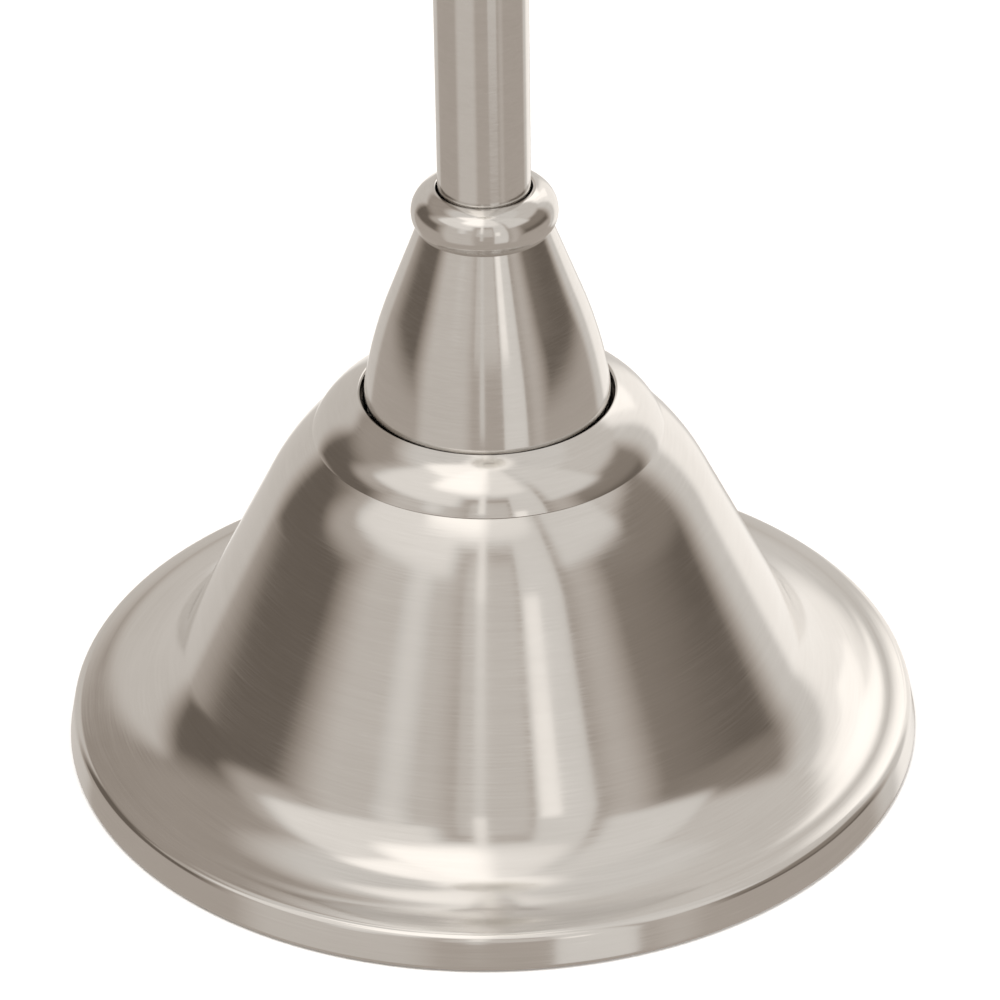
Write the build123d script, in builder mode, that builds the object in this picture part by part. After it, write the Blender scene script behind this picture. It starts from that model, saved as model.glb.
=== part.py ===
"""Torchiere floor lamp: a weighted spun base, a three-section pole with a turn switch, and a
glass uplight bowl.

Sizes are in millimetres. +Z is up, and the origin is on the pole's axis at floor level.
"""

from build123d import *
import os

os.makedirs("parts", exist_ok=True)

# ---------------------------------------------------------------- driving dimensions
sheet = 1.2            # thickness of the spun steel of the base, collars and cones

base_r = 137.5         # base over its rim
felt_top = 2.0         # felt thickness, and the height of the weight's underside
rim_lean = 11.0        # the rim's face leans in by this angle
crease_r = 129.6       # where the rolled rim meets the sweep
crease_z = 12.5
plate_z = 109.9        # flat top of the bell, where the pole stands
shoulder_r = 54.5      # edge of that flat top

collar_r = 55.2        # foot of the collar
collar_hole_r = 40.6   # opening of the collar around the cone
collar_h = 13.6

cone_r = 40.0          # wide end of the cone
cone_tip_r = 20.8      # narrow end of the cone, where the bead ring sits
cone_h = 71.5

bead_out_r = 22.6      # bead ring over its belly
bead_r = 14.75         # bore of the bead ring
bead_low = 5.1         # height of its belly above the cone's tip
bead_h = 13.3

pole_r = 14.29         # 1 1/8 inch tube
pole_wall = 1.0
pole_in_r = pole_r - pole_wall
joint_z = [610.0, 1110.0]   # seams between the three pole sections
pole_top = 1606.0

thread_r = 4.8         # M10 lamp pipe
pipe_bore_r = 3.4
tapped_r = 4.85
insert_h = 14.0

lead_r = 2.4           # lead inside the lamp
lead_z = 5.2           # height of the lead and of its bushing in the base
lead_bend = 10.0

switch_z = 1380.0      # height of the turn switch

top_z = 1792.0         # the top cone repeats the base cone: height h there is top_z - h here
holder_z = 1681.0      # wide end of the top cone, where the seat plate lies
bowl_z = 1684.5        # underside of the glass bowl
bowl_r = 180.0
bowl_rim_z = 1800.0
bowl_hole_r = 33.0
glass = 4.5

socket_z = 1634.0      # floor of the lamp socket
bulb_z = 1652.0        # tip of the bulb's contact when screwed home

front = Plane.XZ       # profiles are drawn here and turned about Z


def outer_rims(tube, radius):
    """Round edges of a tube that are wider than the radius given."""
    rings = tube.edges().filter_by(GeomType.CIRCLE)
    return rings.filter_by(lambda ring: ring.radius > radius)


# ---------------------------------------------------------------- base: what touches the floor
with BuildPart() as felt_pad:
    with BuildSketch():
        Circle(127.5)
    extrude(amount=felt_top)
    chamfer(felt_pad.edges().group_by(Axis.Z)[0], length=0.4)
felt_pad.part.label = "felt_pad"
export_step(felt_pad.part, "parts/felt_pad.step")

# The weight is one casting: a thick disc, a shoulder that meets the sweep, and a hub for the rod.
recess_r = 15.0
recess_top = 23.6
hub_top = 36.0
with BuildPart() as base_weight:
    with BuildSketch(front):
        with BuildLine():
            Polyline(
                (recess_r, felt_top),
                (126.0, felt_top),
                (126.0, 8.6),
                (117.0, 11.6),
                (107.0, 16.0),
                (27.0, 16.0),
                (24.0, hub_top),
                (5.2, hub_top),
                (5.2, recess_top),
                (recess_r, recess_top),
                close=True,
            )
        make_face()
    revolve(axis=Axis.Z)
    fillet(base_weight.edges().group_by(Axis.Z)[-1].sort_by(SortBy.RADIUS)[-1], radius=2.0)
    # groove for the lead, from the back edge to the recess under the hub
    with BuildSketch(Plane.XY.offset(felt_top)):
        with Locations((0, 70)):
            Rectangle(7.5, 120)
    extrude(amount=7.2, mode=Mode.SUBTRACT)
base_weight.part.label = "base_weight"
export_step(base_weight.part, "parts/base_weight.step")

# ---------------------------------------------------------------- base: spun shell
# Rolled rim, sweep, straight flank, shoulder and flat top, all from one disc of steel.
hem_r = 1.5
rim_face = 7.55
rim_roll_r = 3.2
rim_foot = 0.4
flank_low = (99.2, 31.1)
flank_high = (70.6, 88.2)
flank_dir = (flank_low[0] - flank_high[0], flank_low[1] - flank_high[1])
with BuildPart() as base_shell:
    with BuildSketch(front):
        with BuildLine():
            Line((133.0, rim_foot), (base_r - hem_r, rim_foot))
            hem = JernArc((base_r - hem_r, rim_foot), (1, 0), hem_r, 90 + rim_lean)
            face = PolarLine(hem @ 1, rim_face, 90 + rim_lean)
            roll = JernArc(face @ 1, face % 1, rim_roll_r, 84 - rim_lean)
            Line(roll @ 1, (crease_r, crease_z))
            TangentArc(flank_low, (crease_r, crease_z), tangent=flank_dir)
            Line(flank_low, flank_high)
            TangentArc(flank_high, (shoulder_r, plate_z), tangent=(-flank_dir[0], -flank_dir[1]))
            Line((shoulder_r, plate_z), (5.2, plate_z))
            offset(amount=sheet, side=Side.LEFT)
        make_face()
    revolve(axis=Axis.Z)
    # hole in the back of the rim for the lead's bushing
    with BuildSketch(Plane(origin=(0, 131, lead_z), x_dir=(1, 0, 0), z_dir=(0, 1, 0))):
        Circle(3.35)
    extrude(amount=12, mode=Mode.SUBTRACT)
base_shell.part.label = "base_shell"
export_step(base_shell.part, "parts/base_shell.step")

# The bushing's flange is cut to the lean of the rim's face.
with BuildPart() as cord_bushing:
    with BuildSketch(Plane(origin=(0, 134, lead_z), x_dir=(1, 0, 0), z_dir=(0, 1, 0))):
        Circle(4.3)
    extrude(amount=base_r + 1.5 - 134)
    fillet(cord_bushing.edges().group_by(Axis.Y)[-1], radius=0.7)
    with BuildSketch(front):
        Polygon((125.0, 0.5), (137.83, 0.5), (135.98, 10.0), (125.0, 10.0), align=None)
    revolve(axis=Axis.Z, mode=Mode.SUBTRACT)
    with BuildSketch(Plane(origin=(0, 129, lead_z), x_dir=(1, 0, 0), z_dir=(0, 1, 0))):
        Circle(3.3)
    extrude(amount=base_r - 129)
    with BuildSketch(Plane(origin=(0, 129, lead_z), x_dir=(1, 0, 0), z_dir=(0, 1, 0))):
        Circle(2.6)
    extrude(amount=12, mode=Mode.SUBTRACT)
cord_bushing.part.label = "cord_bushing"
export_step(cord_bushing.part, "parts/cord_bushing.step")

# ---------------------------------------------------------------- base: clamp rod
rod_low = 15.5
rod_high = plate_z + 19.0
with BuildPart() as clamp_rod:
    with BuildSketch(Plane.XY.offset(rod_low)):
        Circle(thread_r)
        Circle(pipe_bore_r, mode=Mode.SUBTRACT)
    extrude(amount=rod_high - rod_low)
    chamfer(outer_rims(clamp_rod, 4), length=0.5)
clamp_rod.part.label = "clamp_rod"
export_step(clamp_rod.part, "parts/clamp_rod.step")

with BuildPart() as rod_nut:
    with BuildSketch(Plane.XY.offset(16.2)):
        RegularPolygon(radius=8.0, side_count=6, major_radius=False)
        Circle(tapped_r, mode=Mode.SUBTRACT)
    extrude(amount=5.8)
    chamfer(rod_nut.edges().filter_by(GeomType.CIRCLE), length=0.4)
rod_nut.part.label = "rod_nut"
export_step(rod_nut.part, "parts/rod_nut.step")

with BuildPart() as rod_washer:
    with BuildSketch(Plane.XY.offset(22.0)):
        Circle(13.0)
        Circle(5.2, mode=Mode.SUBTRACT)
    extrude(amount=recess_top - 22.0)
rod_washer.part.label = "rod_washer"
export_step(rod_washer.part, "parts/rod_washer.step")


# ---------------------------------------------------------------- collars, cones and bead rings
# Rolled collar: its foot sits on the bell's flat top, and its hole goes round the cone.
collar_top = plate_z + collar_h
with BuildPart() as base_collar:
    with BuildSketch(front):
        with BuildLine():
            Bezier(
                (collar_r, plate_z),
                (collar_r - 1.2, plate_z + 3.1),
                (collar_r - 5.2, plate_z + 9.4),
                (collar_hole_r, collar_top),
            )
            Line((collar_hole_r, collar_top), (collar_hole_r, collar_top - sheet))
            Bezier(
                (collar_hole_r, collar_top - sheet),
                (collar_r - 5.8, plate_z + 8.4),
                (collar_r - 2.4, plate_z + 2.7),
                (collar_r - 1.3, plate_z),
            )
            Line((collar_r - 1.3, plate_z), (collar_r, plate_z))
        make_face()
    revolve(axis=Axis.Z)
base_collar.part.label = "base_collar"
export_step(base_collar.part, "parts/base_collar.step")

# The cone stands on the bell's flat top and is open at both ends.
with BuildPart() as neck_cone:
    with BuildSketch(front):
        with BuildLine():
            Line((cone_r, plate_z), (cone_r, plate_z + 2.0))
            TangentArc(
                (30.2, plate_z + 47.0), (cone_r, plate_z + 2.0), tangent=(9.4, -24.5)
            )
            Line((30.2, plate_z + 47.0), (cone_tip_r, plate_z + cone_h))
            offset(amount=sheet, side=Side.LEFT)
        make_face()
    revolve(axis=Axis.Z)
neck_cone.part.label = "neck_cone"
export_step(neck_cone.part, "parts/neck_cone.step")

# Turned bead ring around the pole; its spigot centres the cone.
bead_foot = plate_z + cone_h
with BuildPart() as neck_bead:
    with BuildSketch(front):
        with BuildLine():
            ThreePointArc(
                (cone_tip_r, bead_foot),
                (bead_out_r, bead_foot + bead_low),
                (bead_r + 0.5, bead_foot + bead_h),
            )
            Polyline(
                (bead_r + 0.5, bead_foot + bead_h),
                (bead_r, bead_foot + bead_h - 0.5),
                (bead_r, bead_foot - 5.0),
                (19.2, bead_foot - 5.0),
                (19.2, bead_foot),
                (cone_tip_r, bead_foot),
            )
        make_face()
    revolve(axis=Axis.Z)
neck_bead.part.label = "neck_bead"
export_step(neck_bead.part, "parts/neck_bead.step")

# ---------------------------------------------------------------- pole
pole_ends = [plate_z, joint_z[0], joint_z[1], pole_top]


def pole_section(low, high):
    """One tube of the pole, with its ends just broken so that the seams read."""
    with BuildPart() as made:
        with BuildSketch(Plane.XY.offset(low)):
            Circle(pole_r)
            Circle(pole_in_r, mode=Mode.SUBTRACT)
        extrude(amount=high - low)
        chamfer(outer_rims(made, pole_in_r + 0.1), length=0.3)
    return made.part


pole_lower = pole_section(pole_ends[0], pole_ends[1])
pole_lower.label = "pole_lower"
export_step(pole_lower, "parts/pole_lower.step")

pole_middle = pole_section(pole_ends[1], pole_ends[2])
pole_middle.label = "pole_middle"
export_step(pole_middle, "parts/pole_middle.step")

switch_plane = Plane(origin=(0, 0, switch_z), x_dir=(1, 0, 0), z_dir=(0, -1, 0))
with BuildPart() as pole_upper:
    add(pole_section(pole_ends[2], pole_ends[3]))
    with BuildSketch(switch_plane):
        Circle(4.3)
    extrude(amount=20, mode=Mode.SUBTRACT)
pole_upper.part.label = "pole_upper"
export_step(pole_upper.part, "parts/pole_upper.step")

# Tapped steel plugs pressed into both ends of each tube, just below the tube's end.
plug_inset = 0.5
with BuildPart() as pole_plugs:
    for low, high in zip(pole_ends[:-1], pole_ends[1:]):
        for foot in (low + plug_inset, high - plug_inset - insert_h):
            with BuildSketch(Plane.XY.offset(foot)):
                Circle(pole_in_r)
                Circle(tapped_r, mode=Mode.SUBTRACT)
            extrude(amount=insert_h)
pole_plugs.part.label = "pole_plugs"
export_step(pole_plugs.part, "parts/pole_plugs.step")

# Hollow threaded nipples that join the sections.
with BuildPart() as pole_nipples:
    for seam in joint_z:
        with BuildSketch(Plane.XY.offset(seam - 13.0)):
            Circle(thread_r)
            Circle(pipe_bore_r, mode=Mode.SUBTRACT)
        extrude(amount=26.0)
    chamfer(outer_rims(pole_nipples, 4), length=0.5)
pole_nipples.part.label = "pole_nipples"
export_step(pole_nipples.part, "parts/pole_nipples.step")

# ---------------------------------------------------------------- turn switch in the pole
switch_half = 11.0
with BuildPart() as switch_body:
    with BuildSketch(Plane.XY.offset(switch_z - switch_half)):
        with Locations((0, -3)):
            Rectangle(13.0, 16.0)
    extrude(amount=2 * switch_half)
    fillet(switch_body.edges().filter_by(Axis.Z), radius=1.0)
    with BuildSketch(switch_plane.offset(11.0)):
        Circle(4.2)
    extrude(amount=8.4)
    with BuildSketch(switch_plane.offset(6.0)):
        Circle(3.05)
    extrude(amount=14.0, mode=Mode.SUBTRACT)
switch_body.part.label = "switch_body"
export_step(switch_body.part, "parts/switch_body.step")

# Round seat that turns the pole's curve into a flat face for the ring nut.
with BuildPart() as switch_seat:
    with BuildSketch(switch_plane.offset(8.0)):
        Circle(8.2)
        Circle(4.3, mode=Mode.SUBTRACT)
    extrude(amount=8.4)
    with BuildSketch(Plane.XY.offset(switch_z - 12.0)):
        Circle(pole_r)
    extrude(amount=24.0, mode=Mode.SUBTRACT)
    fillet(switch_seat.faces().sort_by(Axis.Y)[0].outer_wire().edges(), radius=0.7)
switch_seat.part.label = "switch_seat"
export_step(switch_seat.part, "parts/switch_seat.step")

with BuildPart() as switch_ring_nut:
    with BuildSketch(switch_plane.offset(16.4)):
        Circle(5.5)
        Circle(4.25, mode=Mode.SUBTRACT)
        Rectangle(12.0, 1.2, mode=Mode.SUBTRACT)
    extrude(amount=2.2)
    with BuildSketch(switch_plane.offset(16.4)):
        Circle(5.5)
        Circle(4.25, mode=Mode.SUBTRACT)
    extrude(amount=1.2)
switch_ring_nut.part.label = "switch_ring_nut"
export_step(switch_ring_nut.part, "parts/switch_ring_nut.step")

with BuildPart() as switch_shaft:
    with BuildSketch(switch_plane.offset(6.3)):
        Circle(3.0)
    extrude(amount=22.7)
    with BuildSketch(switch_plane.offset(21.0)):
        with Locations((0, 2.6)):
            Rectangle(6.0, 1.6)
    extrude(amount=9.0, mode=Mode.SUBTRACT)
switch_shaft.part.label = "switch_shaft"
export_step(switch_shaft.part, "parts/switch_shaft.step")

# Knurled knob with a hollow back over the ring nut and a D hole for the shaft.
knob_r = 8.0
knob_back = 17.2
knob_front = 32.0
flutes = 20
with BuildPart() as switch_knob:
    with BuildSketch(switch_plane.offset(knob_back)):
        Circle(knob_r)
        with PolarLocations(knob_r + 0.35, flutes):
            Circle(0.75, mode=Mode.SUBTRACT)
    extrude(amount=knob_front - 3.0 - knob_back)
    with BuildSketch(switch_plane.offset(knob_front - 3.0)):
        Circle(knob_r - 0.4)
    extrude(amount=3.0)
    fillet(switch_knob.faces().sort_by(Axis.Y)[0].outer_wire().edges(), radius=1.4)
    with BuildSketch(switch_plane.offset(knob_back)):
        Circle(5.9)
    extrude(amount=2.4, mode=Mode.SUBTRACT)
    with BuildSketch(switch_plane.offset(knob_back)):
        Circle(3.04)
    extrude(amount=4.0, mode=Mode.SUBTRACT)
    with BuildSketch(switch_plane.offset(21.15)):
        Circle(3.04)
        with Locations((0, 2.65)):
            Rectangle(7.0, 1.6, mode=Mode.SUBTRACT)
    extrude(amount=8.1, mode=Mode.SUBTRACT)
    # pointer line on the knob's face
    with BuildSketch(switch_plane.offset(knob_front - 0.5)):
        with Locations((0, 4.2)):
            SlotOverall(4.4, 1.0, rotation=90)
    extrude(amount=1.0, mode=Mode.SUBTRACT)
switch_knob.part.label = "switch_knob"
export_step(switch_knob.part, "parts/switch_knob.step")

# ---------------------------------------------------------------- top of the pole
# The bead caps the pole; the cone, clamped on it, is the base cone turned over.
cap_face_z = top_z - plate_z - cone_h
with BuildPart() as top_bead:
    with BuildSketch(front):
        with BuildLine():
            ThreePointArc(
                (cone_tip_r, cap_face_z),
                (bead_out_r, cap_face_z - bead_low),
                (bead_r + 0.5, cap_face_z - bead_h),
            )
            Polyline(
                (bead_r + 0.5, cap_face_z - bead_h),
                (bead_r, cap_face_z - bead_h + 0.5),
                (bead_r, pole_top),
                (5.2, pole_top),
                (5.2, cap_face_z),
                (cone_tip_r, cap_face_z),
            )
        make_face()
    revolve(axis=Axis.Z)
top_bead.part.label = "top_bead"
export_step(top_bead.part, "parts/top_bead.step")

upside_down = Plane.XY.offset(top_z / 2)
with BuildPart() as top_cone:
    mirror(neck_cone.part, about=upside_down)
    split(bisect_by=Plane.XY.offset(holder_z), keep=Keep.BOTTOM)
    with BuildSketch(Plane.XY.offset(cap_face_z)):
        Circle(20.2)
        Circle(5.2, mode=Mode.SUBTRACT)
    extrude(amount=sheet)
top_cone.part.label = "top_cone"
export_step(top_cone.part, "parts/top_cone.step")

with BuildPart() as top_collar:
    mirror(base_collar.part, about=upside_down)
top_collar.part.label = "top_collar"
export_step(top_collar.part, "parts/top_collar.step")

# Seat plate: lies on the cone, brazed inside the collar's edge, open round the socket.
with BuildPart() as seat_plate:
    with BuildSketch(Plane.XY.offset(holder_z)):
        Circle(53.4)
        Circle(21.5, mode=Mode.SUBTRACT)
        with PolarLocations(30.0, 3):
            Circle(2.5, mode=Mode.SUBTRACT)
    extrude(amount=1.5)
seat_plate.part.label = "seat_plate"
export_step(seat_plate.part, "parts/seat_plate.step")

with BuildPart() as bowl_gasket:
    with BuildSketch(Plane.XY.offset(holder_z + 1.5)):
        Circle(50.0)
        Circle(36.0, mode=Mode.SUBTRACT)
    extrude(amount=bowl_z - holder_z - 1.5)
    fillet(bowl_gasket.edges().group_by(Axis.Z)[-1], radius=0.6)
bowl_gasket.part.label = "bowl_gasket"
export_step(bowl_gasket.part, "parts/bowl_gasket.step")

# Pressed-glass bowl with an opening that clears the lamp bulb, and a fire-polished rim.
with BuildPart() as glass_bowl:
    with BuildSketch(front):
        with BuildLine():
            Line((bowl_hole_r, bowl_z), (52.0, bowl_z))
            TangentArc((52.0, bowl_z), (bowl_r, bowl_rim_z - 1.0), tangent=(1, 0.12))
            offset(amount=glass, side=Side.LEFT)
        make_face()
    revolve(axis=Axis.Z)
    fillet(glass_bowl.edges().group_by(Axis.Z)[-1], radius=1.8)
glass_bowl.part.label = "glass_bowl"
export_step(glass_bowl.part, "parts/glass_bowl.step")

# ---------------------------------------------------------------- socket
with BuildPart() as top_nipple:
    with BuildSketch(Plane.XY.offset(pole_top - 15.0)):
        Circle(thread_r)
        Circle(pipe_bore_r, mode=Mode.SUBTRACT)
    extrude(amount=43.0)
    chamfer(outer_rims(top_nipple, 4), length=0.5)
top_nipple.part.label = "top_nipple"
export_step(top_nipple.part, "parts/top_nipple.step")

with BuildPart() as lock_washer:
    with BuildSketch(Plane.XY.offset(cap_face_z + sheet)):
        Circle(9.5)
        Circle(5.2, mode=Mode.SUBTRACT)
        for angle in range(0, 360, 30):
            with PolarLocations(9.5, 1, start_angle=angle):
                Circle(1.0, mode=Mode.SUBTRACT)
    extrude(amount=1.0)
lock_washer.part.label = "lock_washer"
export_step(lock_washer.part, "parts/lock_washer.step")

with BuildPart() as lock_nut:
    with BuildSketch(Plane.XY.offset(cap_face_z + sheet + 1.0)):
        RegularPolygon(radius=7.5, side_count=6, major_radius=False)
        Circle(tapped_r, mode=Mode.SUBTRACT)
    extrude(amount=4.0)
    chamfer(lock_nut.edges().filter_by(GeomType.CIRCLE), length=0.4)
lock_nut.part.label = "lock_nut"
export_step(lock_nut.part, "parts/lock_nut.step")

# Domed metal cap, screwed on the nipple, that carries the porcelain body.
cap_foot = 1622.0
with BuildPart() as socket_cap:
    with BuildSketch(front):
        with BuildLine():
            Polyline(
                (tapped_r, cap_foot),
                (8.0, cap_foot),
                (8.0, cap_foot + 8.4),
                (12.0, cap_foot + 8.4),
            )
            TangentArc((12.0, cap_foot + 8.4), (18.0, cap_foot + 14.4), tangent=(1, 0))
            Polyline(
                (18.0, cap_foot + 14.4),
                (18.0, cap_foot + 22.0),
                (17.1, cap_foot + 22.0),
                (17.1, socket_z),
                (tapped_r, socket_z),
                (tapped_r, cap_foot),
            )
        make_face()
    revolve(axis=Axis.Z)
socket_cap.part.label = "socket_cap"
export_step(socket_cap.part, "parts/socket_cap.step")

socket_top = socket_z + 47.0
with BuildPart() as socket_body:
    with BuildSketch(front):
        with BuildLine():
            Polyline(
                (2.6, socket_z + 0.3),
                (17.0, socket_z + 0.3),
                (17.0, socket_z + 12.0),
                (18.2, socket_z + 12.0),
                (18.2, socket_top),
                (14.4, socket_top),
                (14.4, socket_z + 14.0),
                (2.6, socket_z + 14.0),
                close=True,
            )
        make_face()
    revolve(axis=Axis.Z)
    fillet(socket_body.edges().group_by(Axis.Z)[-1], radius=1.0)
socket_body.part.label = "socket_body"
export_step(socket_body.part, "parts/socket_body.step")

with BuildPart() as screw_shell:
    with BuildSketch(Plane.XY.offset(socket_z + 16.0)):
        Circle(14.3)
        Circle(13.4, mode=Mode.SUBTRACT)
    extrude(amount=27.0)
screw_shell.part.label = "screw_shell"
export_step(screw_shell.part, "parts/screw_shell.step")

# Brass tongue on the socket's floor that presses on the bulb's tip.
with BuildPart() as centre_contact:
    with BuildSketch(Plane.XY.offset(socket_z + 14.0)):
        SlotOverall(22.0, 6.5)
    extrude(amount=0.8)
    with BuildSketch(Plane.XY.offset(socket_z + 14.8)):
        Circle(3.2)
    extrude(amount=bulb_z - socket_z - 14.8)
    fillet(centre_contact.edges().group_by(Axis.Z)[-1], radius=0.8)
centre_contact.part.label = "centre_contact"
export_step(centre_contact.part, "parts/centre_contact.step")

# ---------------------------------------------------------------- bulb
with BuildPart() as bulb_cap:
    with BuildSketch(front):
        with BuildLine():
            Polyline(
                (5.0, bulb_z + 2.6),
                (9.0, bulb_z + 4.6),
                (12.6, bulb_z + 7.0),
                (13.0, bulb_z + 8.2),
                (13.0, bulb_z + 25.5),
                (12.2, bulb_z + 25.5),
                (12.2, bulb_z + 8.4),
                (8.6, bulb_z + 5.6),
                (5.0, bulb_z + 3.6),
                close=True,
            )
        make_face()
    revolve(axis=Axis.Z)
bulb_cap.part.label = "bulb_cap"
export_step(bulb_cap.part, "parts/bulb_cap.step")

# Black glass insulator with the soldered tip.
with BuildPart() as bulb_tip:
    with BuildSketch(Plane.XY.offset(bulb_z)):
        Circle(3.4)
    extrude(amount=1.4)
    fillet(bulb_tip.edges().group_by(Axis.Z)[0], radius=0.9)
    with BuildSketch(Plane.XY.offset(bulb_z + 1.4)):
        Circle(4.9)
    extrude(amount=2.6)
bulb_tip.part.label = "bulb_tip"
export_step(bulb_tip.part, "parts/bulb_tip.step")

bulb_glass_r = 30.0
bulb_wall = 1.0
ball_z = bulb_z + 76.0
with BuildPart() as bulb_glass:
    with BuildSketch(front):
        with BuildLine():
            Polyline(
                (12.0, bulb_z + 20.0),
                (12.0, bulb_z + 25.6),
                (14.2, bulb_z + 28.0),
            )
            Spline(
                (14.2, bulb_z + 28.0),
                (16.4, bulb_z + 38.0),
                (25.0, bulb_z + 58.5),
                (bulb_glass_r, ball_z),
                tangents=[(0, 1), (0, 1)],
            )
            JernArc((bulb_glass_r, ball_z), (0, 1), bulb_glass_r, 90)
            Line((0, ball_z + bulb_glass_r), (0, ball_z + bulb_glass_r - bulb_wall))
            JernArc(
                (0, ball_z + bulb_glass_r - bulb_wall), (1, 0), bulb_glass_r - bulb_wall, -90
            )
            Spline(
                (bulb_glass_r - bulb_wall, ball_z),
                (24.1, bulb_z + 59.0),
                (15.4, bulb_z + 38.3),
                (13.2, bulb_z + 28.3),
                tangents=[(0, -1), (0, -1)],
            )
            Polyline(
                (13.2, bulb_z + 28.3),
                (11.0, bulb_z + 26.0),
                (11.0, bulb_z + 20.0),
                (12.0, bulb_z + 20.0),
            )
        make_face()
    revolve(axis=Axis.Z)
bulb_glass.part.label = "bulb_glass"
export_step(bulb_glass.part, "parts/bulb_glass.step")

# ---------------------------------------------------------------- lead
# From the bushing along the groove, up the clamp rod and the pole to the switch, then on to
# the socket.
with BuildPart() as lead_lower:
    with BuildLine():
        FilletPolyline(
            (0, 127, lead_z),
            (0, 0, lead_z),
            (0, 0, switch_z - switch_half - 0.2),
            radius=lead_bend,
        )
    with BuildSketch(Plane(origin=(0, 127, lead_z), x_dir=(1, 0, 0), z_dir=(0, -1, 0))):
        Circle(lead_r)
    sweep()
lead_lower.part.label = "lead_lower"
export_step(lead_lower.part, "parts/lead_lower.step")

with BuildPart() as lead_upper:
    with BuildSketch(Plane.XY.offset(switch_z + switch_half + 0.2)):
        Circle(lead_r)
    extrude(amount=socket_z + 13.0 - switch_z - switch_half)
lead_upper.part.label = "lead_upper"
export_step(lead_upper.part, "parts/lead_upper.step")
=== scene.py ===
import bpy
import math
from mathutils import Matrix, Vector


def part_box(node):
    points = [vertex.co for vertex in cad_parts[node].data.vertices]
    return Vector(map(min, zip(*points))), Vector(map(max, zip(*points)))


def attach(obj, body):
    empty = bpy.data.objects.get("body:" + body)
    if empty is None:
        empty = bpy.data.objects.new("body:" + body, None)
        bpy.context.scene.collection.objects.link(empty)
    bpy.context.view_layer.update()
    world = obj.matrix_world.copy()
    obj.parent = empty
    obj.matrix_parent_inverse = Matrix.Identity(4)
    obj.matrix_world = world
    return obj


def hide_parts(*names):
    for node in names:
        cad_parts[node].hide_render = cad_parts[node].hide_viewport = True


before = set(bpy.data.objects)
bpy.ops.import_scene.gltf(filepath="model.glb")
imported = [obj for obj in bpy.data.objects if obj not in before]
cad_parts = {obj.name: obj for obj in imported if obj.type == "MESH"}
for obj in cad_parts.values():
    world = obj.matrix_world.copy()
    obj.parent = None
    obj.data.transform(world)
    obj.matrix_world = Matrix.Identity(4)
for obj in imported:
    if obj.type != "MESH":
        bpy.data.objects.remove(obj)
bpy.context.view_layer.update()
scene = bpy.context.scene
MM = 0.001
DEGREES_IN_RADIAN = 57.29578

# ------------------------------------------------------------------ camera
# Looks down about 32 degrees at the base from a metre and a half away, on a long lens.
CAMERA_DISTANCE = 1.4598
CAMERA_ELEVATION = 34.617
CAMERA_PITCH, CAMERA_YAW, CAMERA_ROLL = -2.739, 0.162, -0.866
SENSOR_WIDTH = 36.0
LENS_PER_SENSOR = 4.4589


def aim_camera():
    elevation, pitch, yaw, roll = (
        math.radians(a) for a in (CAMERA_ELEVATION, CAMERA_PITCH, CAMERA_YAW, CAMERA_ROLL))
    down = elevation + pitch
    forward = Vector((
        math.sin(yaw) * math.cos(down), math.cos(yaw) * math.cos(down), -math.sin(down)))
    side = forward.cross(Vector((0, 0, 1))).normalized()
    above = side.cross(forward)
    right = math.cos(roll) * side + math.sin(roll) * above
    up = math.cos(roll) * above - math.sin(roll) * side
    data = bpy.data.cameras.new("camera")
    data.sensor_width = SENSOR_WIDTH
    data.lens = SENSOR_WIDTH * LENS_PER_SENSOR
    data.clip_start = 0.05
    data.clip_end = 100.0
    camera = bpy.data.objects.new("camera", data)
    turn = Matrix((right, up, -forward)).transposed().to_4x4()
    place = CAMERA_DISTANCE * Vector((0, -math.cos(elevation), math.sin(elevation)))
    camera.matrix_world = Matrix.Translation(place) @ turn
    scene.collection.objects.link(camera)
    scene.camera = camera


aim_camera()
scene.view_settings.view_transform = "Standard"


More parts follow.
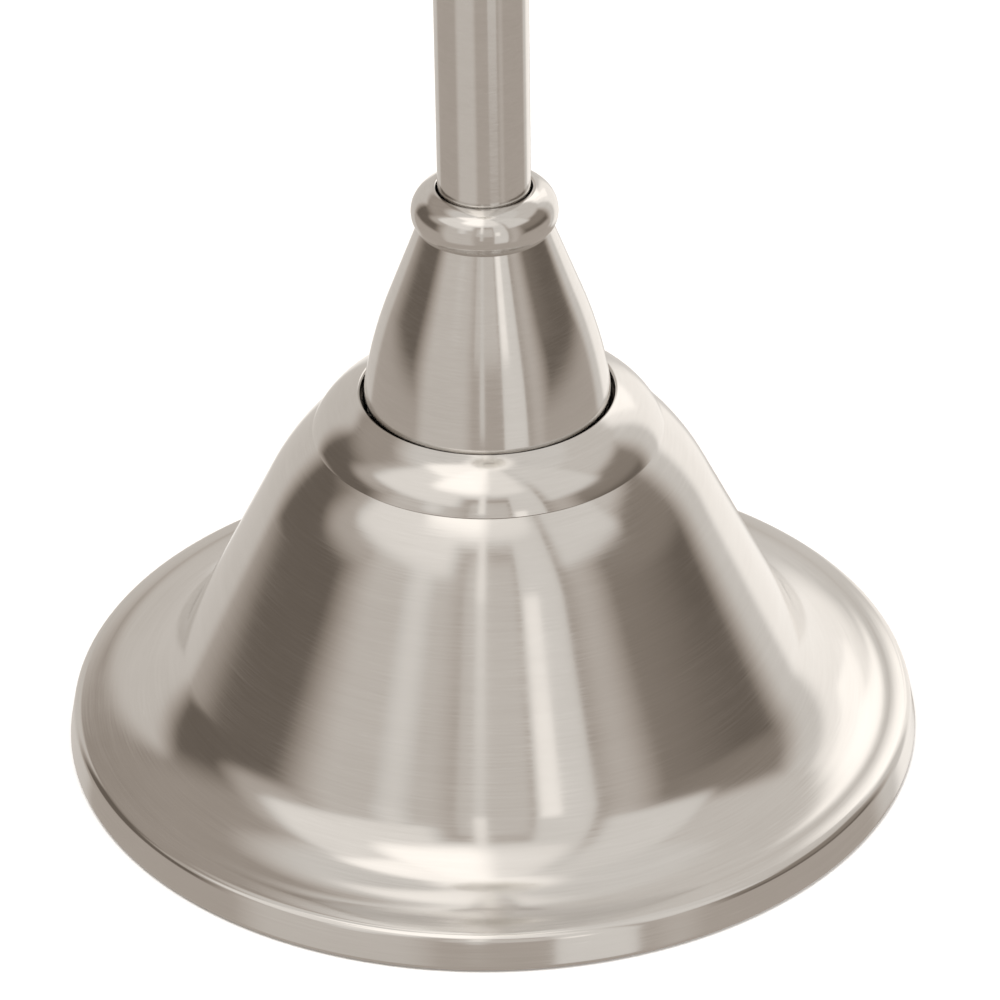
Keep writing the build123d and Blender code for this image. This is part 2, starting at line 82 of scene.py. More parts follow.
# ------------------------------------------------------------------ node helpers
class Tree:
    """Short calls for building a node tree; a value may be a number, a colour or a socket."""

    def __init__(self, tree):
        self.tree = tree
        self.tree.nodes.clear()

    def node(self, kind, **settings):
        made = self.tree.nodes.new(kind)
        for name, value in settings.items():
            setattr(made, name, value)
        return made

    def put(self, value, socket):
        if isinstance(value, bpy.types.NodeSocket):
            self.tree.links.new(value, socket)
        elif value is not None:
            socket.default_value = value

    def math(self, operation, a, b=None, c=None):
        made = self.node("ShaderNodeMath", operation=operation)
        for value, socket in zip((a, b, c), made.inputs):
            self.put(value, socket)
        return made.outputs[0]

    def vector(self, x, y, z):
        made = self.node("ShaderNodeCombineXYZ")
        for value, socket in zip((x, y, z), made.inputs):
            self.put(value, socket)
        return made.outputs[0]

    def split(self, vector):
        made = self.node("ShaderNodeSeparateXYZ")
        self.put(vector, made.inputs[0])
        return made.outputs

    def ramp(self, value, low, high, to_low=0.0, to_high=1.0, smooth=True):
        """The value's place between low and high, as a number from to_low to to_high."""
        made = self.node(
            "ShaderNodeMapRange", interpolation_type="SMOOTHSTEP" if smooth else "LINEAR")
        self.put(value, made.inputs["Value"])
        for name, number in (
                ("From Min", low), ("From Max", high), ("To Min", to_low), ("To Max", to_high)):
            self.put(number, made.inputs[name])
        return made.outputs["Result"]

    def mix(self, factor, a, b):
        made = self.node("ShaderNodeMix", data_type="RGBA")
        self.put(factor, made.inputs["Factor"])
        self.put(a, made.inputs[6])
        self.put(b, made.inputs[7])
        return made.outputs[2]

    def noise(self, vector, scale, detail=2.0, roughness=0.5, w=None):
        made = self.node("ShaderNodeTexNoise", noise_dimensions="3D" if w is None else "4D")
        self.put(vector, made.inputs["Vector"])
        if w is not None:
            self.put(w, made.inputs["W"])
        made.inputs["Scale"].default_value = scale
        made.inputs["Detail"].default_value = detail
        made.inputs["Roughness"].default_value = roughness
        return made.outputs["Fac"]

    def place(self):
        """Where a point is on the object, in metres."""
        return self.node("ShaderNodeTexCoord").outputs["Object"]

    def bump(self, height, distance, strength=1.0, after=None):
        made = self.node("ShaderNodeBump")
        made.inputs["Strength"].default_value = strength
        made.inputs["Distance"].default_value = distance
        self.put(height, made.inputs["Height"])
        if after is not None:
            self.put(after, made.inputs["Normal"])
        return made.outputs[0]

    def surface(self, color, roughness, metallic=0.0, normal=None, **fixed):
        """Principled shader; fixed numbers go straight on its sockets."""
        made = self.node("ShaderNodeBsdfPrincipled")
        self.put(color, made.inputs["Base Color"])
        self.put(roughness, made.inputs["Roughness"])
        made.inputs["Metallic"].default_value = metallic
        if normal is not None:
            self.put(normal, made.inputs["Normal"])
        for name, value in fixed.items():
            made.inputs[name.replace("_", " ")].default_value = value
        out = self.node("ShaderNodeOutputMaterial")
        self.tree.links.new(made.outputs[0], out.inputs["Surface"])
        return made


def material(name):
    made = bpy.data.materials.new(name)
    made.use_nodes = True
    return made, Tree(made.node_tree)


def rgb(r, g, b):
    return (r, g, b, 1.0)


# ------------------------------------------------------------------ studio
# Soft boxes stand round the lamp as patches of a plain, dim studio sky; where they overlap, the
# brighter one shows. A patch is (left, right, low, high, edge across, edge upward, brightness) in
# degrees. 0 across is on the camera's side of the lamp, and 400 or 100 leaves that side open.
PATCHES = [
    # ceiling: dim near the walls, brighter overhead
    (-400, 400, 26, 100, 5, 30, 0.36),
    (-400, 400, 52, 100, 5, 24, 0.72),
    # overhead bank, brightest to the front left, and its end behind the lamp
    (-60, 6, 46, 100, 34, 24, 1.37),
    (-98, -30, 62, 100, 26, 14, 1.30),
    (-10, 40, 44, 100, 30, 22, 0.95),
    (-400, -140, 60, 100, 40, 14, 1.14),
    (-400, -170, 42, 100, 14, 18, 1.07),
    (176, 400, 44, 100, 16, 18, 1.07),
    (160, 400, 58, 100, 56, 16, 1.14),
    (-400, 400, 79, 100, 5, 14, 1.25),
    # front left box, its fill and the wall above it
    (-50, -22, 8, 100, 36, 18, 0.86),
    (-74, -8, -36, 100, 34, 12, 0.61),
    (-92, -16, 28, 100, 22, 12, 0.90),
    (-104, -60, 16, 100, 24, 16, 0.48),
    # middle: the plain wall and a narrow tube light
    (-16, 16, -34, 40, 6, 12, 0.45),
    (-15, 14, 2, 44, 6, 16, 0.63),
    (-8, -2, -16, 100, 3, 16, 0.70),
    (-8, -2, 14, 100, 3, 22, 1.02),
    # window to the right, in two panes
    (13.5, 36, -28, 100, 3, 10, 0.77),
    (15, 24, 4, 26, 3, 12, 1.09),
    (32, 60, -34, 32, 28, 12, 0.53),
    # upper right wall
    (36, 84, 27, 100, 16, 12, 0.77),
    (70, 400, 32, 100, 30, 16, 0.65),
    (44, 120, 2, 100, 24, 24, 0.25),
    # bright sheet behind on the right
    (112, 182, -32, 42, 24, 14, 0.70),
    (128, 168, -34, 42, 18, 10, 1.07),
    (138, 160, 12, 44, 12, 10, 1.30),
    (149, 170, 27, 44, 8, 8, 1.42),
    # dim sheet behind on the left
    (-400, -128, -42, 34, 20, 14, 0.63),
    (-400, -164, -34, 4, 14, 12, 1.00),
    # floor
    (-400, 400, -100, -5, 10, 14, 0.44),
]
SKY_DARK = 0.14
OPEN_ACROSS, OPEN_UPWARD = 200, 90

# Dim parts of the room are warmer than the bright ones.
WARM_DIM, WARM_BRIGHT = rgb(1.18, 0.975, 0.80), rgb(1.045, 0.996, 0.94)


def make_studio():
    world = bpy.data.worlds.new("studio")
    scene.world = world
    world.use_nodes = True
    t = Tree(world.node_tree)
    x, y, z = t.split(t.node("ShaderNodeTexCoord").outputs["Generated"])
    across = t.math(
        "MULTIPLY", t.math("ARCTAN2", x, t.math("MULTIPLY", y, -1.0)), DEGREES_IN_RADIAN)
    upward = t.math("MULTIPLY", t.math("ARCSINE", z), DEGREES_IN_RADIAN)
    level = SKY_DARK
    for left, right, low, high, soft, soft_up, bright in PATCHES:
        inside = bright
        for turn, start, stop, edge, side_open in (
                (across, left, right, soft, OPEN_ACROSS), (upward, low, high, soft_up, OPEN_UPWARD)):
            if start > -side_open:
                rise = t.ramp(turn, start - edge / 2, start + edge / 2)
                inside = t.math("MULTIPLY", rise, inside)
            if stop < side_open:
                fall = t.ramp(turn, stop - edge / 2, stop + edge / 2, 1.0, 0.0)
                inside = t.math("MULTIPLY", fall, inside)
        level = t.math("MAXIMUM", level, inside)
    tint = t.mix(t.ramp(level, 0.1, 0.72, smooth=False), WARM_DIM, WARM_BRIGHT)
    glow = t.node("ShaderNodeBackground")
    t.put(tint, glow.inputs[0])
    t.put(level, glow.inputs[1])
    paper = t.node("ShaderNodeBackground")
    paper.inputs[0].default_value = rgb(1, 1, 1)
    choose = t.node("ShaderNodeMixShader")
    # The lamp sees the soft boxes, and the picture has plain white paper behind it.
    t.put(t.node("ShaderNodeLightPath").outputs["Is Camera Ray"], choose.inputs[0])
    t.put(glow.outputs[0], choose.inputs[1])
    t.put(paper.outputs[0], choose.inputs[2])
    t.put(choose.outputs[0], t.node("ShaderNodeOutputWorld").inputs[0])


make_studio()


def area_light(name, place, target, size, power):
    """Round soft light that the metal doesn't mirror."""
    data = bpy.data.lights.new(name, "AREA")
    data.shape = "DISK"
    data.size = size
    data.energy = power
    made = bpy.data.objects.new(name, data)
    made.location = place
    made.rotation_mode = "QUATERNION"
    made.rotation_quaternion = (Vector(target) - Vector(place)).to_track_quat("-Z", "Y")
    made.visible_camera = False
    made.visible_glossy = False
    scene.collection.objects.link(made)


area_light("top_bank", (-1.3, -2.6, 9.0), (0, 0, 0.6), 5.0, 560)
area_light("right_bank", (2.6, -1.6, 2.4), (0, 0, 0.8), 2.0, 40)

FLOOR_HALF = 30
floor_mesh = bpy.data.meshes.new("floor")
floor_mesh.from_pydata(
    [(x * FLOOR_HALF, y * FLOOR_HALF, 0) for x, y in ((-1, -1), (1, -1), (1, 1), (-1, 1))],
    [], [(0, 1, 2, 3)])
floor = bpy.data.objects.new("floor", floor_mesh)
scene.collection.objects.link(floor)
floor.visible_glossy = False
floor_paint, t = material("floor_paint")
t.surface(rgb(0.93, 0.93, 0.93), 0.9)
floor_mesh.materials.append(floor_paint)


# ------------------------------------------------------------------ materials
def ring_lines(t, pitch, around):
    """Noise place drawn out round the Z axis: fine across the profile, long round the axis."""
    x, y, z = t.split(t.place())
    radius = t.math("SQRT", t.math("ADD", t.math("MULTIPLY", x, x), t.math("MULTIPLY", y, y)))
    wide = t.math("MAXIMUM", radius, 1e-5)
    lines = t.vector(
        t.math("MULTIPLY", radius, pitch),
        t.math("MULTIPLY", z, pitch),
        t.math("MULTIPLY", t.math("DIVIDE", x, wide), around))
    return lines, t.math("MULTIPLY", t.math("DIVIDE", y, wide), around)


BRUSH_PITCH = 2400.0


def brushed(name, color, roughness):
    """Plated metal brushed round the axis, with faint bands, hazy patches and hairlines."""
    made, t = material(name)
    fine_at, fine_w = ring_lines(t, BRUSH_PITCH, 5.0)
    fine = t.noise(fine_at, 1.0, 3.0, 0.6, fine_w)
    band_at, band_w = ring_lines(t, BRUSH_PITCH / 9.0, 1.6)
    band = t.noise(band_at, 1.0, 2.0, 0.5, band_w)
    hair_at, hair_w = ring_lines(t, BRUSH_PITCH * 0.8, 14.0)
    hair = t.ramp(t.noise(hair_at, 1.0, 1.0, 0.4, hair_w), 0.70, 0.78)
    haze = t.noise(t.place(), 22.0, 3.0, 0.55)
    tone = t.math("ADD", t.ramp(fine, 0.3, 0.7, -0.035, 0.035, False),
                  t.ramp(band, 0.3, 0.7, -0.018, 0.018, False))
    tone = t.math("ADD", tone, t.ramp(haze, 0.35, 0.65, -0.025, 0.025, False))
    tone = t.math("ADD", t.math("MULTIPLY_ADD", hair, 0.05, tone), 0.5)
    dark = rgb(*(c * 0.55 for c in color))
    light = rgb(*(min(1.0, c * 1.45) for c in color))
    rough = t.math("ADD", t.ramp(fine, 0.3, 0.7, -0.03, 0.04, False),
                   t.ramp(haze, 0.35, 0.65, roughness - 0.02, roughness + 0.03, False))
    height = t.math("ADD", fine, t.math("MULTIPLY", band, 0.2))
    metal = t.surface(
        t.mix(tone, dark, light), rough, 1.0, t.bump(height, 0.00002, 0.2),
        Anisotropic=0.4, Anisotropic_Rotation=0.25)
    around = t.node("ShaderNodeTangent", direction_type="RADIAL", axis="Z")
    t.put(around.outputs[0], metal.inputs["Tangent"])
    return made


NICKEL = brushed("brushed_nickel", (0.86, 0.81, 0.745), 0.12)


def plated(name, color, roughness):
    """Zinc, brass or cap metal: faint crystals and patches that are rubbed brighter or duller."""
    made, t = material(name)
    where = t.place()
    grain = t.noise(where, 900.0, 3.0, 0.6)
    patch = t.noise(where, 70.0, 3.0, 0.55)
    dark = rgb(*(c * 0.72 for c in color))
    light = rgb(*(min(1.0, c * 1.12) for c in color))
    tone = t.math("ADD", t.ramp(grain, 0.3, 0.7, 0.3, 0.6, False),
                  t.ramp(patch, 0.3, 0.7, -0.2, 0.2, False))
    rough = t.math("ADD", t.ramp(patch, 0.35, 0.65, roughness - 0.06, roughness + 0.08, False),
                   t.ramp(grain, 0.3, 0.7, -0.03, 0.03, False))
    t.surface(t.mix(tone, dark, light), rough, 1.0, t.bump(grain, 0.00005, 0.3))
    return made


def moulded(name, color, roughness, grain_scale, depth, **fixed):
    """Plastic, rubber, glaze or sheath: fine moulded grain with slow changes of tone."""
    made, t = material(name)
    where = t.place()
    grain = t.noise(where, grain_scale, 3.0, 0.6)
    patch = t.noise(where, 40.0, 2.0, 0.5)
    dark = rgb(*(c * 0.86 for c in color))
    light = rgb(*(min(1.0, c * 1.10) for c in color))
    tone = t.math("ADD", t.ramp(grain, 0.3, 0.7, 0.25, 0.6, False),
                  t.ramp(patch, 0.3, 0.7, -0.2, 0.25, False))
    rough = t.ramp(patch, 0.3, 0.7, max(0.02, roughness - 0.05), roughness + 0.05, False)
    t.surface(t.mix(tone, dark, light), rough, 0.0, t.bump(grain, depth, 0.5), **fixed)
    return made


def cast_iron():
    """Sand-cast iron, dark and rough, with brown patches."""
    made, t = material("cast_iron")
    where = t.place()
    sand = t.noise(where, 380.0, 5.0, 0.65)
    rust = t.ramp(t.noise(where, 30.0, 4.0, 0.6), 0.52, 0.66)
    color = t.mix(rust, rgb(0.055, 0.055, 0.057), rgb(0.11, 0.065, 0.04))
    t.surface(color, t.ramp(sand, 0.3, 0.7, 0.55, 0.75, False), 0.0, t.bump(sand, 0.0006, 0.7))
    return made


def felt():
    """Black pressed felt with fibres and clumps."""
    made, t = material("felt")
    where = t.place()
    fibre = t.noise(where, 1400.0, 4.0, 0.7)
    clump = t.noise(where, 90.0, 3.0, 0.6)
    tone = t.math("ADD", t.ramp(fibre, 0.3, 0.7, 0.0, 0.7, False),
                  t.ramp(clump, 0.3, 0.7, 0.0, 0.3, False))
    t.surface(t.mix(tone, rgb(0.035, 0.035, 0.036), rgb(0.10, 0.10, 0.10)), 0.95, 0.0,
              t.bump(fibre, 0.0006, 0.8), Sheen_Weight=0.5)
    return made


def satin_glass():
    """White pressed glass of the bowl: milky, with faint cloudy swirls and a satin skin."""
    made, t = material("bowl_glass")
    where = t.place()
    drift = t.noise(where, 7.0, 4.0, 0.62)
    vein = t.math("ABSOLUTE", t.math("SUBTRACT", t.noise(where, 11.0, 5.0, 0.6), 0.5))
    cloud = t.math("ADD", t.ramp(drift, 0.35, 0.65, 0.0, 0.65, False),
                   t.ramp(vein, 0.0, 0.06, 0.35, 0.0))
    pits = t.noise(where, 650.0, 2.0, 0.6)
    ripple = t.noise(where, 26.0, 2.0, 0.5)
    rough = t.math("ADD", t.ramp(drift, 0.3, 0.7, 0.30, 0.40, False),
                   t.ramp(pits, 0.3, 0.7, -0.03, 0.03, False))
    bump = t.bump(ripple, 0.0006, 0.25, t.bump(pits, 0.00006, 0.4))
    t.surface(t.mix(cloud, rgb(0.80, 0.785, 0.745), rgb(0.70, 0.67, 0.615)), rough, 0.0, bump,
              Transmission_Weight=0.22, IOR=1.5, Coat_Weight=0.25, Coat_Roughness=0.12)
    return made


def bulb_white():
    """White-coated glass of the bulb, a little uneven and dusty."""
    made, t = material("bulb_glass")
    where = t.place()
    coat = t.noise(where, 60.0, 4.0, 0.6)
    dust = t.noise(where, 1600.0, 2.0, 0.6)
    t.surface(t.mix(t.ramp(coat, 0.3, 0.7), rgb(0.93, 0.925, 0.90), rgb(0.87, 0.865, 0.84)),
              t.ramp(dust, 0.3, 0.7, 0.24, 0.30, False), 0.0, t.bump(dust, 0.00001, 0.2),
              Coat_Weight=0.4, Coat_Roughness=0.06, IOR=1.5)
    return made


ZINC = plated("zinc_plate", (0.62, 0.63, 0.62), 0.34)
BRASS = plated("satin_brass", (0.80, 0.63, 0.32), 0.26)
BULB_METAL = plated("bulb_cap_metal", (0.80, 0.80, 0.80), 0.28)
BLACK = moulded("black_plastic", (0.03, 0.03, 0.032), 0.42, 1500.0, 0.00008)
RUBBER = moulded("gasket_silicone", (0.72, 0.71, 0.68), 0.62, 900.0, 0.00008)
PORCELAIN = moulded(
    "porcelain", (0.86, 0.85, 0.81), 0.12, 260.0, 0.00006, Coat_Weight=0.6, Coat_Roughness=0.05)
SHEATH = moulded("lead_sheath", (0.66, 0.65, 0.62), 0.48, 500.0, 0.00006)
IRON = cast_iron()
FELT = felt()
BOWL_GLASS = satin_glass()
BULB_GLASS = bulb_white()


# ------------------------------------------------------------------ outlines, in millimetres
def arc(centre, radius, start, stop, steps):
    """Points on a circle from one angle to another, in degrees."""
    points = []
    for i in range(steps + 1):
        angle = math.radians(start + (stop - start) * i / steps)
        points.append((centre[0] + radius * math.cos(angle), centre[1] + radius * math.sin(angle)))
    return points


def tangent_arc(start, way, end, steps):
    """Points on the circle that leaves start in the direction way and passes through end."""
    long = math.hypot(*way)
    normal = (-way[1] / long, way[0] / long)
    gap = (end[0] - start[0], end[1] - start[1])
    radius = (gap[0] ** 2 + gap[1] ** 2) / (2 * (gap[0] * normal[0] + gap[1] * normal[1]))
    centre = (start[0] + radius * normal[0], start[1] + radius * normal[1])
    first = math.degrees(math.atan2(start[1] - centre[1], start[0] - centre[0]))
    last = math.degrees(math.atan2(end[1] - centre[1], end[0] - centre[0]))
    last = first + (last - first + 180) % 360 - 180
    return arc(centre, abs(radius), first, last, steps)


def three_point_arc(a, b, c, steps):
    """Points on the circle from a through b to c."""
    d = 2 * (a[0] * (b[1] - c[1]) + b[0] * (c[1] - a[1]) + c[0] * (a[1] - b[1]))
    squares = [p[0] ** 2 + p[1] ** 2 for p in (a, b, c)]
    x = (squares[0] * (b[1] - c[1]) + squares[1] * (c[1] - a[1]) + squares[2] * (a[1] - b[1])) / d
    y = (squares[0] * (c[0] - b[0]) + squares[1] * (a[0] - c[0]) + squares[2] * (b[0] - a[0])) / d
    turns = [math.degrees(math.atan2(p[1] - y, p[0] - x)) for p in (a, b, c)]
    full = (turns[2] - turns[0]) % 360
    if (turns[1] - turns[0]) % 360 > full:
        full -= 360
    return arc((x, y), math.hypot(a[0] - x, a[1] - y), turns[0], turns[0] + full, steps)


def bezier(a, b, c, d, steps):
    """Points on a cubic curve from a to d, drawn towards b and c."""
    out = []
    for i in range(steps + 1):
        s = i / steps
        weights = ((1 - s) ** 3, 3 * (1 - s) ** 2 * s, 3 * (1 - s) * s ** 2, s ** 3)
        out.append(tuple(sum(w * p[k] for w, p in zip(weights, (a, b, c, d))) for k in (0, 1)))
    return out


def flowing(points, first, last, steps):
    """A smooth curve through the points, leaving and arriving in the directions given."""
    out = []
    ways = [first] + [
        (b[0] - a[0], b[1] - a[1]) for a, b in zip(points[:-2], points[2:])] + [last]
    for i in range(len(points) - 1):
        a, b = points[i], points[i + 1]
        span = math.hypot(b[0] - a[0], b[1] - a[1])
        va, vb = [(w[0] / math.hypot(*w) * span, w[1] / math.hypot(*w) * span) for w in ways[i:i + 2]]
        for k in range(steps + (i == len(points) - 2)):
            s = k / steps
            h = (2 * s ** 3 - 3 * s ** 2 + 1, s ** 3 - 2 * s ** 2 + s,
                 3 * s ** 2 - 2 * s ** 3, s ** 3 - s ** 2)
            out.append(tuple(
                h[0] * a[j] + h[1] * va[j] + h[2] * b[j] + h[3] * vb[j] for j in (0, 1)))
    return out


def divided(a, b, step):
    """Points from a up to but not including b, no further apart than the step."""
    count = max(1, round(math.hypot(b[0] - a[0], b[1] - a[1]) / step))
    return [
        (a[0] + (b[0] - a[0]) * i / count, a[1] + (b[1] - a[1]) * i / count) for i in range(count)]


def moved_in(line, distance):
    """The line moved square to itself, to its left."""
    moved = []
    for i, p in enumerate(line):
        a, b = line[max(0, i - 1)], line[min(len(line) - 1, i + 1)]
        long = math.hypot(b[0] - a[0], b[1] - a[1])
        moved.append((
            p[0] - (b[1] - a[1]) / long * distance, p[1] + (b[0] - a[0]) / long * distance))
    return moved


def walled(outer, thickness):
    """Closed outline of a sheet: the outer line, then the same line moved in by its thickness."""
    return outer + moved_in(outer, thickness)[::-1]


# ------------------------------------------------------------------ meshes
SHARP_ANGLE = 32.0


def piece(name, vertices, faces, paint, body, stands_for):
    """A finished mesh that rides on a body and takes the place of CAD nodes."""
    mesh = bpy.data.meshes.new(name)
    mesh.from_pydata(vertices, [], faces)
    mesh.materials.append(paint)
    mesh.polygons.foreach_set("use_smooth", [True] * len(mesh.polygons))
    mesh.set_sharp_from_angle(angle=math.radians(SHARP_ANGLE))
    mesh.update()
    made = bpy.data.objects.new(name, mesh)
    scene.collection.objects.link(made)
    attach(made, body)
    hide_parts(*stands_for)


def turned(outline, around):
    """Vertices and faces of a closed outline, anticlockwise in (radius, height), turned about Z."""
    vertices, faces, rings = [], [], []
    for r, z in outline:
        if r < 1e-4:
            rings.append([len(vertices)] * around)
            vertices.append((0, 0, z * MM))
            continue
        rings.append(list(range(len(vertices), len(vertices) + around)))
        for i in range(around):
            angle = 2 * math.pi * (i + 0.5) / around
            vertices.append((r * MM * math.sin(angle), -r * MM * math.cos(angle), z * MM))
    for low, high in zip(rings, rings[1:] + rings[:1]):
        for i in range(around):
            j = (i + 1) % around
            corners = [low[i], low[j], high[j], high[i]]
            face = [v for k, v in enumerate(corners) if v != corners[k - 1]]
            if len(face) > 2:
                faces.append(face)
    return vertices, faces


def lathe(name, outline, paint, node, body="lamp", around=192):
    """A piece made by turning a closed outline about the lamp's axis."""
    vertices, faces = turned(outline, around)
    piece(name, vertices, faces, paint, body, [node])


def low_high(node):
    """Low and high corner of a CAD node's box, in millimetres."""
    low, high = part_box(node)
    return [c / MM for c in low], [c / MM for c in high]


SHEET = 1.2
ROD_HOLE_R = 5.2

# Bell: hemmed foot, leaning rim face, roll, sweep, straight flank, shoulder and flat top.
shell_low, shell_high = low_high("base_shell")
plate = shell_high[2]
foot = shell_low[2]
rim = shell_high[0]
HEM_R, ROLL_R, RIM_FACE = 1.5, 3.2, 7.55
RIM_LEAN, ROLL_END = 11, 84
hem_start = (133.0, foot)
crease = (129.6, 12.5)
flank_low, flank_high = (99.2, 31.1), (70.6, 88.2)
shoulder = (54.5, plate)
down_flank = (flank_low[0] - flank_high[0], flank_low[1] - flank_high[1])
lean = math.radians(RIM_LEAN)
hem = arc((rim - HEM_R, foot + HEM_R), HEM_R, -90, RIM_LEAN, 10)
face_top = (hem[-1][0] - RIM_FACE * math.sin(lean), hem[-1][1] + RIM_FACE * math.cos(lean))
roll_centre = (face_top[0] - ROLL_R * math.cos(lean), face_top[1] - ROLL_R * math.sin(lean))
sweep = tangent_arc(flank_low, down_flank, crease, 48)[::-1]
bell = (
    [hem_start] + hem + divided(hem[-1], face_top, 1.5)[1:]
    + arc(roll_centre, ROLL_R, RIM_LEAN, ROLL_END, 16)
    + sweep[:-1]
    + divided(flank_low, flank_high, 3.0)
    + tangent_arc(flank_high, (-down_flank[0], -down_flank[1]), shoulder, 20)
    + divided(shoulder, (ROD_HOLE_R, plate), 8.0)[1:] + [(ROD_HOLE_R, plate)])
lathe("bell", walled(bell, SHEET), NICKEL, "base_shell", around=288)


def collar_outline(foot_z, way):
    """Collar with its lip rolled in, standing on foot_z; way is -1 for the one turned over."""
    outside = bezier((55.2, 0), (54.0, 3.1), (50.0, 9.4), (40.6, 13.6), 40)[:-1]
    lip = [(40.6, 13.6), (40.22, 13.46), (39.92, 13.12), (39.8, 12.6), (39.85, 12.1), (40.2, 11.9)]
    inside = bezier((40.6, 12.0), (49.4, 8.4), (52.8, 2.7), (53.9, 0), 30)[1:]
    outline = [(r, foot_z + way * h) for r, h in outside + lip + inside]
    return outline if way > 0 else outline[::-1]


lathe("rolled_collar", collar_outline(plate, 1), NICKEL, "base_collar", around=256)

cone_top = low_high("neck_cone")[1][2]
cone_height = cone_top - plate
CONE_R, TIP_R = 40.0, 20.8
FOOT_EDGE = (CONE_R, 2.0)
OGIVE_END, DOWN_CONE = (30.2, 47.0), (9.4, -24.5)


def cone_line(at, way):
    """Outer line of the ogival cone, from its wide foot at height at to its tip."""
    line = (divided((CONE_R, 0), FOOT_EDGE, 1.0)
            + tangent_arc(OGIVE_END, DOWN_CONE, FOOT_EDGE, 40)[::-1]
            + divided(OGIVE_END, (TIP_R, cone_height), 3.0)[1:] + [(TIP_R, cone_height)])
    return [(r, at + way * h) for r, h in line]


lathe("ogive_cone", walled(cone_line(plate, 1), SHEET), NICKEL, "neck_cone", around=224)

BEAD_HOLE_R, SPIGOT_R, SPIGOT_DEEP = 14.75, 19.2, 5.0


def bead_line(at, way):
    """Belly of the bead ring from the cone's tip, at height at, over the lip and into its hole."""
    line = three_point_arc((TIP_R, 0), (22.6, 5.1), (15.3, 13.3), 28) + [
        (14.95, 13.15), (BEAD_HOLE_R, 12.8)]
    return [(r, at + way * h) for r, h in line]


lathe(
    "bead_ring",
    bead_line(cone_top, 1)
    + [(BEAD_HOLE_R, cone_top - SPIGOT_DEEP), (SPIGOT_R, cone_top - SPIGOT_DEEP), (SPIGOT_R, cone_top)],
    NICKEL, "neck_bead")

# Tubes of the pole, their ends just broken so that the seams read as fine dark lines.
TUBE_R, BORE_R = 14.29, 13.29
TUBE_END = [(BORE_R, 0.0), (13.9, 0.0), (14.2, 0.12), (TUBE_R, 0.35)]
for node, name in (
        ("pole_lower", "tube_lower"), ("pole_middle", "tube_middle"), ("pole_upper", "tube_upper")):
    low, high = (corner[2] for corner in low_high(node))
    lathe(
        name,
        [(r, low + h) for r, h in TUBE_END]
        + divided((TUBE_R, low + 0.5), (TUBE_R, high - 0.5), 20.0)
        + [(r, high - h) for r, h in TUBE_END[::-1]],
        NICKEL, node, around=128)

# Top of the pole: the same pressings turned over.
cap_face = low_high("top_bead")[1][2]
holder = low_high("top_cone")[1][2]
pole_top = low_high("pole_upper")[1][2]
lathe(
    "top_bead_ring",
    (bead_line(cap_face, -1)
     + [(BEAD_HOLE_R, pole_top), (ROD_HOLE_R, pole_top), (ROD_HOLE_R, cap_face)])[::-1],
    NICKEL, "top_bead")
cup = [p for p in cone_line(cap_face + cone_height, -1) if p[1] < holder - 0.5][::-1]
cup_floor = [
    (ROD_HOLE_R, cap_face), (12.0, cap_face), (19.9, cap_face), (20.6, cap_face + 0.15)]
lathe(
    "top_cup", walled(cup_floor + cup[1:] + [(CONE_R, holder)], SHEET),
    NICKEL, "top_cone", around=224)
collar_face = low_high("top_collar")[1][2]
lathe(
    "top_rolled_collar", collar_outline(collar_face, -1),
    NICKEL, "top_collar", around=256)

# Bowl: pressed glass, ground flat under the foot, with a rounded rim.
bowl_low, bowl_high = (corner[2] for corner in low_high("glass_bowl"))
WALL = 4.5
BOWL_HOLE_R, BOWL_FOOT_R = 33.0, 52.0
outer = tangent_arc((BOWL_FOOT_R, bowl_low), (1, 0.12), (180.0, 1799.0), 72)
outer = [p for p in outer if p[1] < bowl_high - 2.4]
inner = moved_in(outer, WALL)
edge = outer[-1]
across = (inner[-1][0] - edge[0], inner[-1][1] - edge[1])
rim_centre = (edge[0] + across[0] / 2, edge[1] + across[1] / 2)
rim_turn = math.degrees(math.atan2(-across[1], -across[0]))
bowl_rim = arc(rim_centre, WALL / 2, rim_turn, rim_turn + 180, 14)
inside_foot = [(46.0, WALL), (40.0, WALL), (34.2, WALL), (BOWL_HOLE_R, WALL - 1.2)]
lathe(
    "bowl_shade",
    [(BOWL_HOLE_R, bowl_low + 0.8), (33.8, bowl_low)] + divided((40.0, bowl_low), outer[0], 6.0)
    + outer[:-1] + bowl_rim + inner[-2::-1] + [(r, bowl_low + h) for r, h in inside_foot],
    BOWL_GLASS, "glass_bowl", body="bowl", around=256)

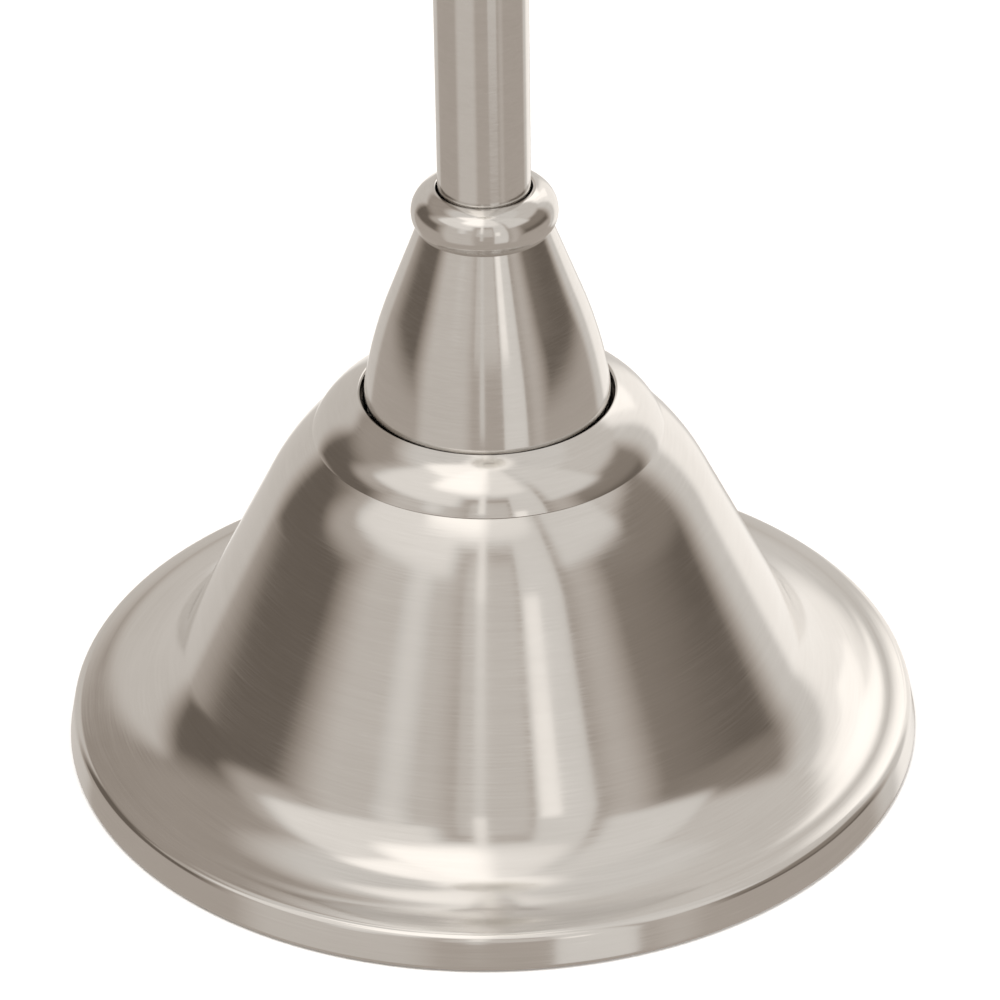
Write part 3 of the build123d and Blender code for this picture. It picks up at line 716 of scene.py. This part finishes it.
# Bulb: a soft white envelope and a cap with a rolled thread.
tip = low_high("bulb_tip")[0][2]
BALL_R, BALL_HIGH, BULB_GLASS_THICK = 30.0, 76.0, 1.0
ball = (0.0, BALL_HIGH)
bulb_line = (
    [(11.0, 20.0), (12.0, 20.0), (12.0, 25.6), (13.4, 26.6)]
    + flowing([(14.2, 28.0), (16.4, 38.0), (25.0, 58.5), (BALL_R, BALL_HIGH)], (0, 1), (0, 1), 10)
    + arc(ball, BALL_R, 0, 90, 24)[1:]
    + arc(ball, BALL_R - BULB_GLASS_THICK, 90, 0, 24)
    + flowing(
        [(BALL_R - BULB_GLASS_THICK, BALL_HIGH), (24.1, 59.0), (15.4, 38.3), (13.2, 28.3)],
        (0, -1), (0, -1), 10)[1:]
    + [(11.0, 26.0)])
lathe(
    "bulb_envelope", [(r, tip + h) for r, h in bulb_line],
    BULB_GLASS, "bulb_glass", body="bulb", around=96)

CAP_R, CAP_BORE_R = 13.0, 12.0
THREAD_PITCH, THREAD_DEEP, THREAD_RUN_OUT = 3.63, 0.75, 2.0


def thread(vertices, low, high):
    """The vertices with the outer skin between two heights pressed into a screw thread."""
    out = []
    for x, y, z in vertices:
        h = z / MM
        r = math.hypot(x, y) / MM
        if low < h < high and r > (CAP_R + CAP_BORE_R) / 2:
            fade = min(1.0, (h - low) / THREAD_RUN_OUT, (high - h) / THREAD_RUN_OUT)
            turn = math.atan2(x, -y) / (2 * math.pi)
            wave = 0.5 - 0.5 * math.cos(2 * math.pi * (h / THREAD_PITCH - turn))
            shrink = 1.0 - THREAD_DEEP * fade * wave / r
            x, y = x * shrink, y * shrink
        out.append((x, y, z))
    return out


cap_line = (
    [(5.0, 2.6), (9.0, 4.6), (12.4, 6.8), (12.9, 7.6)]
    + divided((CAP_R, 8.2), (CAP_R, 25.3), 0.45)
    + [(12.9, 25.5), (12.2, 25.5), (CAP_BORE_R, 8.4), (8.6, 5.6), (5.0, 3.6)])
vertices, faces = turned([(r, tip + h) for r, h in cap_line], 96)
vertices = thread(vertices, tip + 8.6, tip + 24.0)
piece("bulb_screw_cap", vertices, faces, BULB_METAL, "bulb", ["bulb_cap"])


# ------------------------------------------------------------------ CAD nodes that stay
KEPT = (
    (FELT, ("felt_pad",)),
    (IRON, ("base_weight",)),
    (BLACK, ("cord_bushing", "switch_body", "bulb_tip")),
    (ZINC, ("clamp_rod", "rod_nut", "rod_washer", "pole_plugs", "pole_nipples", "switch_shaft",
            "seat_plate", "top_nipple", "lock_washer", "lock_nut")),
    (NICKEL, ("switch_seat", "switch_ring_nut", "switch_knob")),
    (RUBBER, ("bowl_gasket",)),
    (BRASS, ("socket_cap", "screw_shell", "centre_contact")),
    (PORCELAIN, ("socket_body",)),
    (SHEATH, ("lead_lower", "lead_upper")),
)
for paint, nodes in KEPT:
    for node in nodes:
        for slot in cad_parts[node].material_slots:
            slot.material = paint
